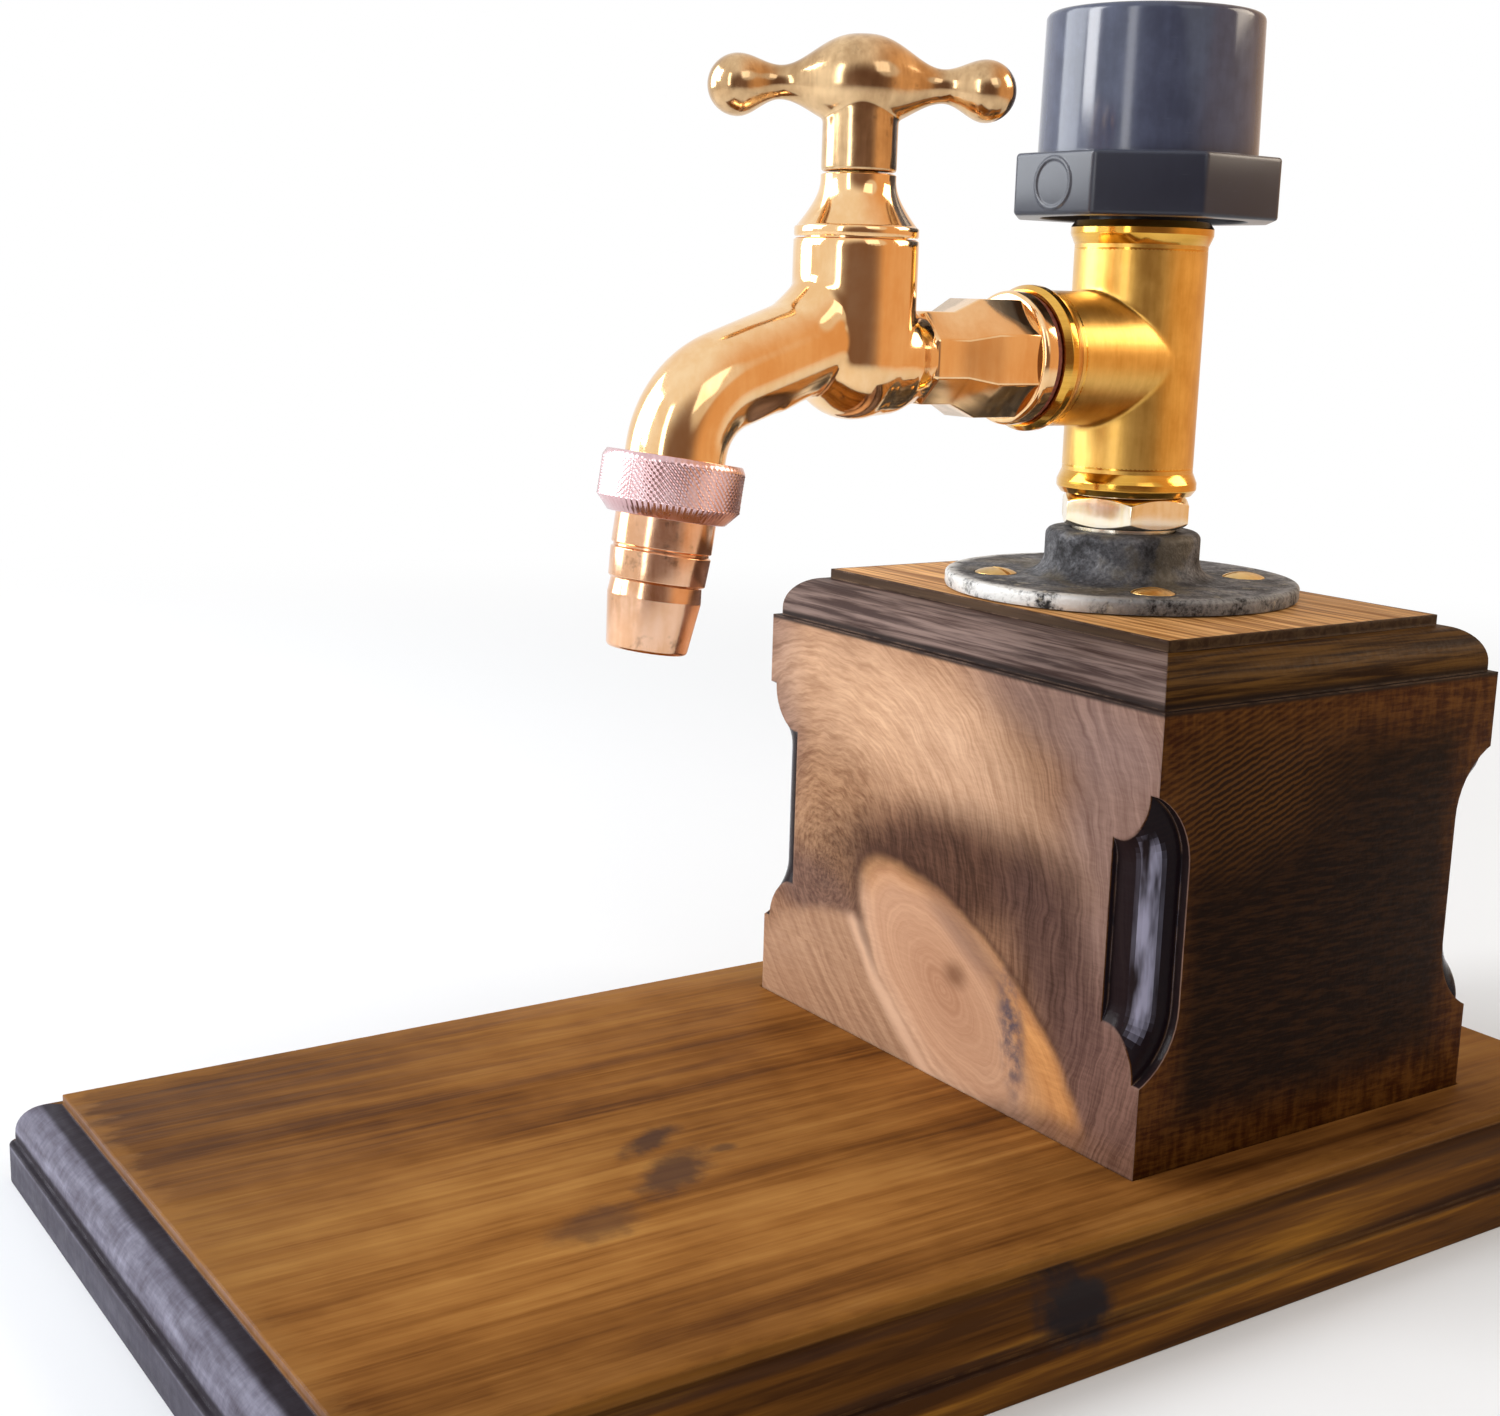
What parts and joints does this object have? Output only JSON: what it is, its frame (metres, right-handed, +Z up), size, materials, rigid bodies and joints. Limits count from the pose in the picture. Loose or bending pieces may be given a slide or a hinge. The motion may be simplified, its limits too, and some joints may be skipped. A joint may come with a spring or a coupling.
{
  "type": "whisky dispenser",
  "caption": "Whisky dispenser: a bottle socket, brass tee and bib tap with hose tail, on pipe fittings over a moulded wooden block and board.",
  "frame": {"origin": "centre of the base board's underside", "axes": "+Z up, -Y toward the tap and its spout, +X to the right of someone who looks along +Y"},
  "size_m": [0.162, 0.285, 0.2233],
  "materials": {
    "board_wood": "varnished, streaky mid brown with knots",
    "block_wood": "varnished, with darker stained edges and sides",
    "dark_iron": "worn and dark, with a pale rubbed rim",
    "screw_steel": "plain",
    "screw_brass": "plain machined",
    "nickel_brass": "bright machined flats",
    "satin_brass": "satin, with polished end bands",
    "copper_gold": "polished copper gold",
    "pink_knurl": "knurled, pinkish",
    "slate_plastic": "semi-gloss slate grey",
    "black_rubber": "matt",
    "red_fibre": "matt"
  },
  "bodies": {
    "stand": {"base_board": "board_wood", "block": "block_wood", "board_screw_1": "screw_steel", "board_screw_2": "screw_steel", "board_screw_3": "screw_steel", "board_screw_4": "screw_steel", "floor_flange": "dark_iron", "flange_screw_1": "screw_brass", "flange_screw_2": "screw_brass", "flange_screw_3": "screw_brass", "flange_screw_4": "screw_brass", "hex_nipple": "nickel_brass", "tee_body": "satin_brass", "bottle_socket": "slate_plastic", "socket_seal": "black_rubber", "inlet_seal": "red_fibre", "tap_body": "copper_gold", "bonnet": "copper_gold", "packing_ring": "red_fibre", "gland_bush": "screw_brass"},
    "valve": {"jumper_valve": "screw_brass", "valve_washer": "black_rubber", "valve_nut": "screw_brass"},
    "handle": {"handle": "copper_gold", "handle_grub_screw": "screw_steel", "spindle": "screw_brass"},
    "hose_tail": {"hose_barb": "copper_gold", "hose_washer": "black_rubber"},
    "hose_nut": {"hose_nut": "pink_knurl"}
  },
  "joints": [
    {"name": "valve_lift", "type": "slide", "parent": "stand", "child": "valve", "axis": [0, 0, 1], "range_m": [0, 0.00375]},
    {"name": "handle_turn", "type": "hinge", "parent": "valve", "child": "handle", "pos_m": [0, -0.0094, 0.15845], "axis": [0, 0, 1], "range_deg": [0, 540]},
    {"name": "hose_tail_drop", "type": "slide", "parent": "stand", "child": "hose_tail", "axis": [0, -0.153, -0.9882], "range_m": [0, 0.00363]},
    {"name": "hose_nut_turn", "type": "hinge", "parent": "hose_tail", "child": "hose_nut", "pos_m": [0, -0.0469, 0.1362], "axis": [0, -0.153, -0.9882], "range_deg": [0, 720]}
  ],
  "couplings": [
    {"joint": "valve_lift", "follows": "handle_turn", "m_per_rad": 0.00039789},
    {"joint": "hose_tail_drop", "follows": "hose_nut_turn", "m_per_rad": 0.00028871}
  ]
}
